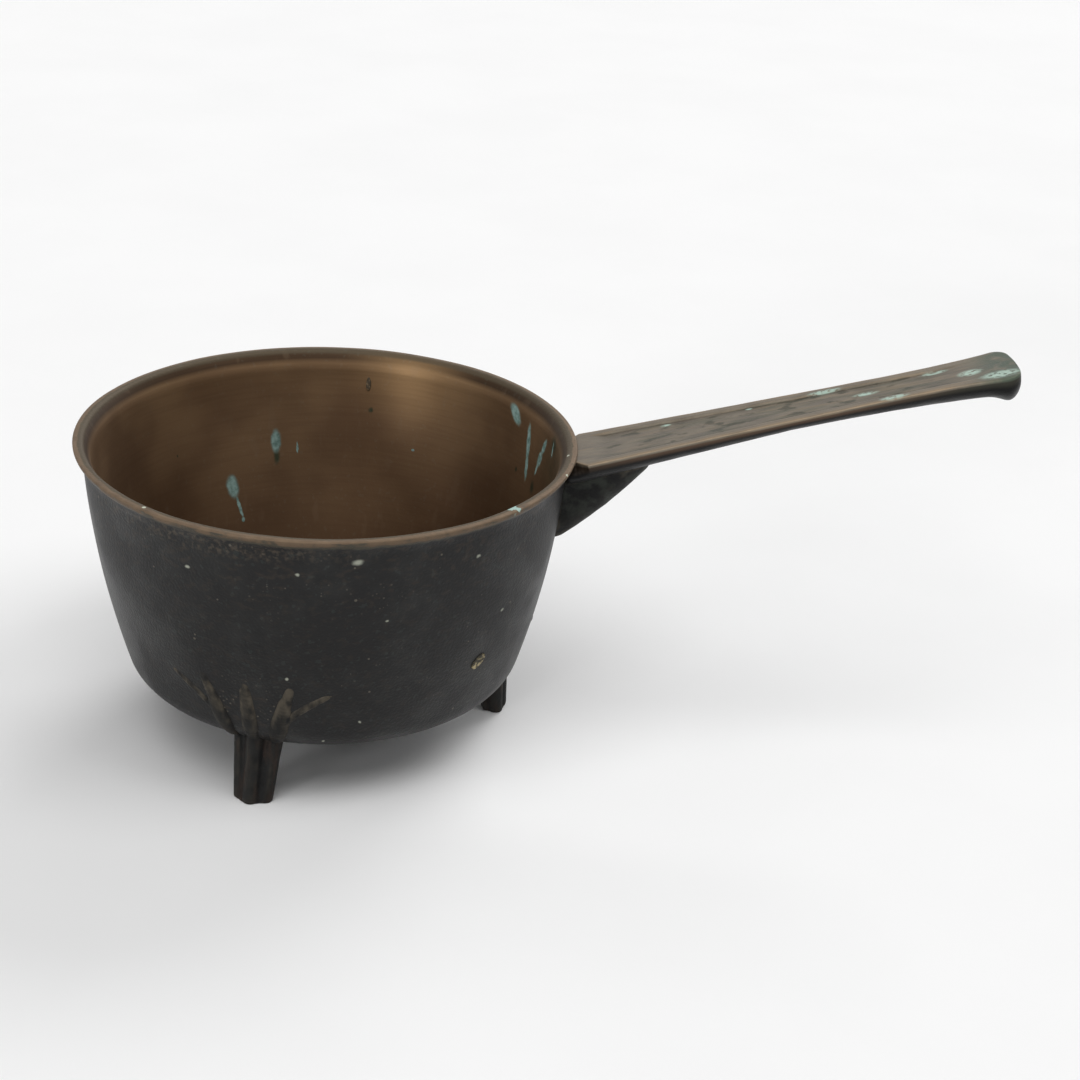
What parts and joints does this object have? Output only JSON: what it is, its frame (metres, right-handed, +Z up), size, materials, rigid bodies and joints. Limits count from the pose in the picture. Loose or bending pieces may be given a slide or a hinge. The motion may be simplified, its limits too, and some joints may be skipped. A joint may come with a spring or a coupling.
{
  "type": "bronze skillet",
  "caption": "Cast bronze skillet: round deep pan with a flared rim, a long rising handle with a sunk top face, a brace under its root, and short reeded legs with claws spread up the wall.",
  "frame": {"origin": "on the floor, midway between the rim's far side and the handle's tip, in the handle's plane", "axes": "+X along the handle away from the pan, +Z up; the feet stand on z = 0"},
  "size_m": [0.361, 0.195, 0.1704],
  "materials": {
    "pan_bronze": "worn cast bronze, dark patina inside, soot outside, rubbed rim",
    "handle_bronze": "worn cast bronze with green patina",
    "sooted_bronze": "sooted cast bronze",
    "chaplet_brass": "dull brass",
    "chaplet_bronze": "dark bronze"
  },
  "bodies": {
    "root": {"pan": "pan_bronze", "handle": "handle_bronze", "tail": "sooted_bronze", "leg_front": "sooted_bronze", "leg_right": "sooted_bronze", "leg_left": "sooted_bronze", "chaplet_low": "chaplet_brass", "chaplet_high": "chaplet_bronze"}
  },
  "joints": []
}
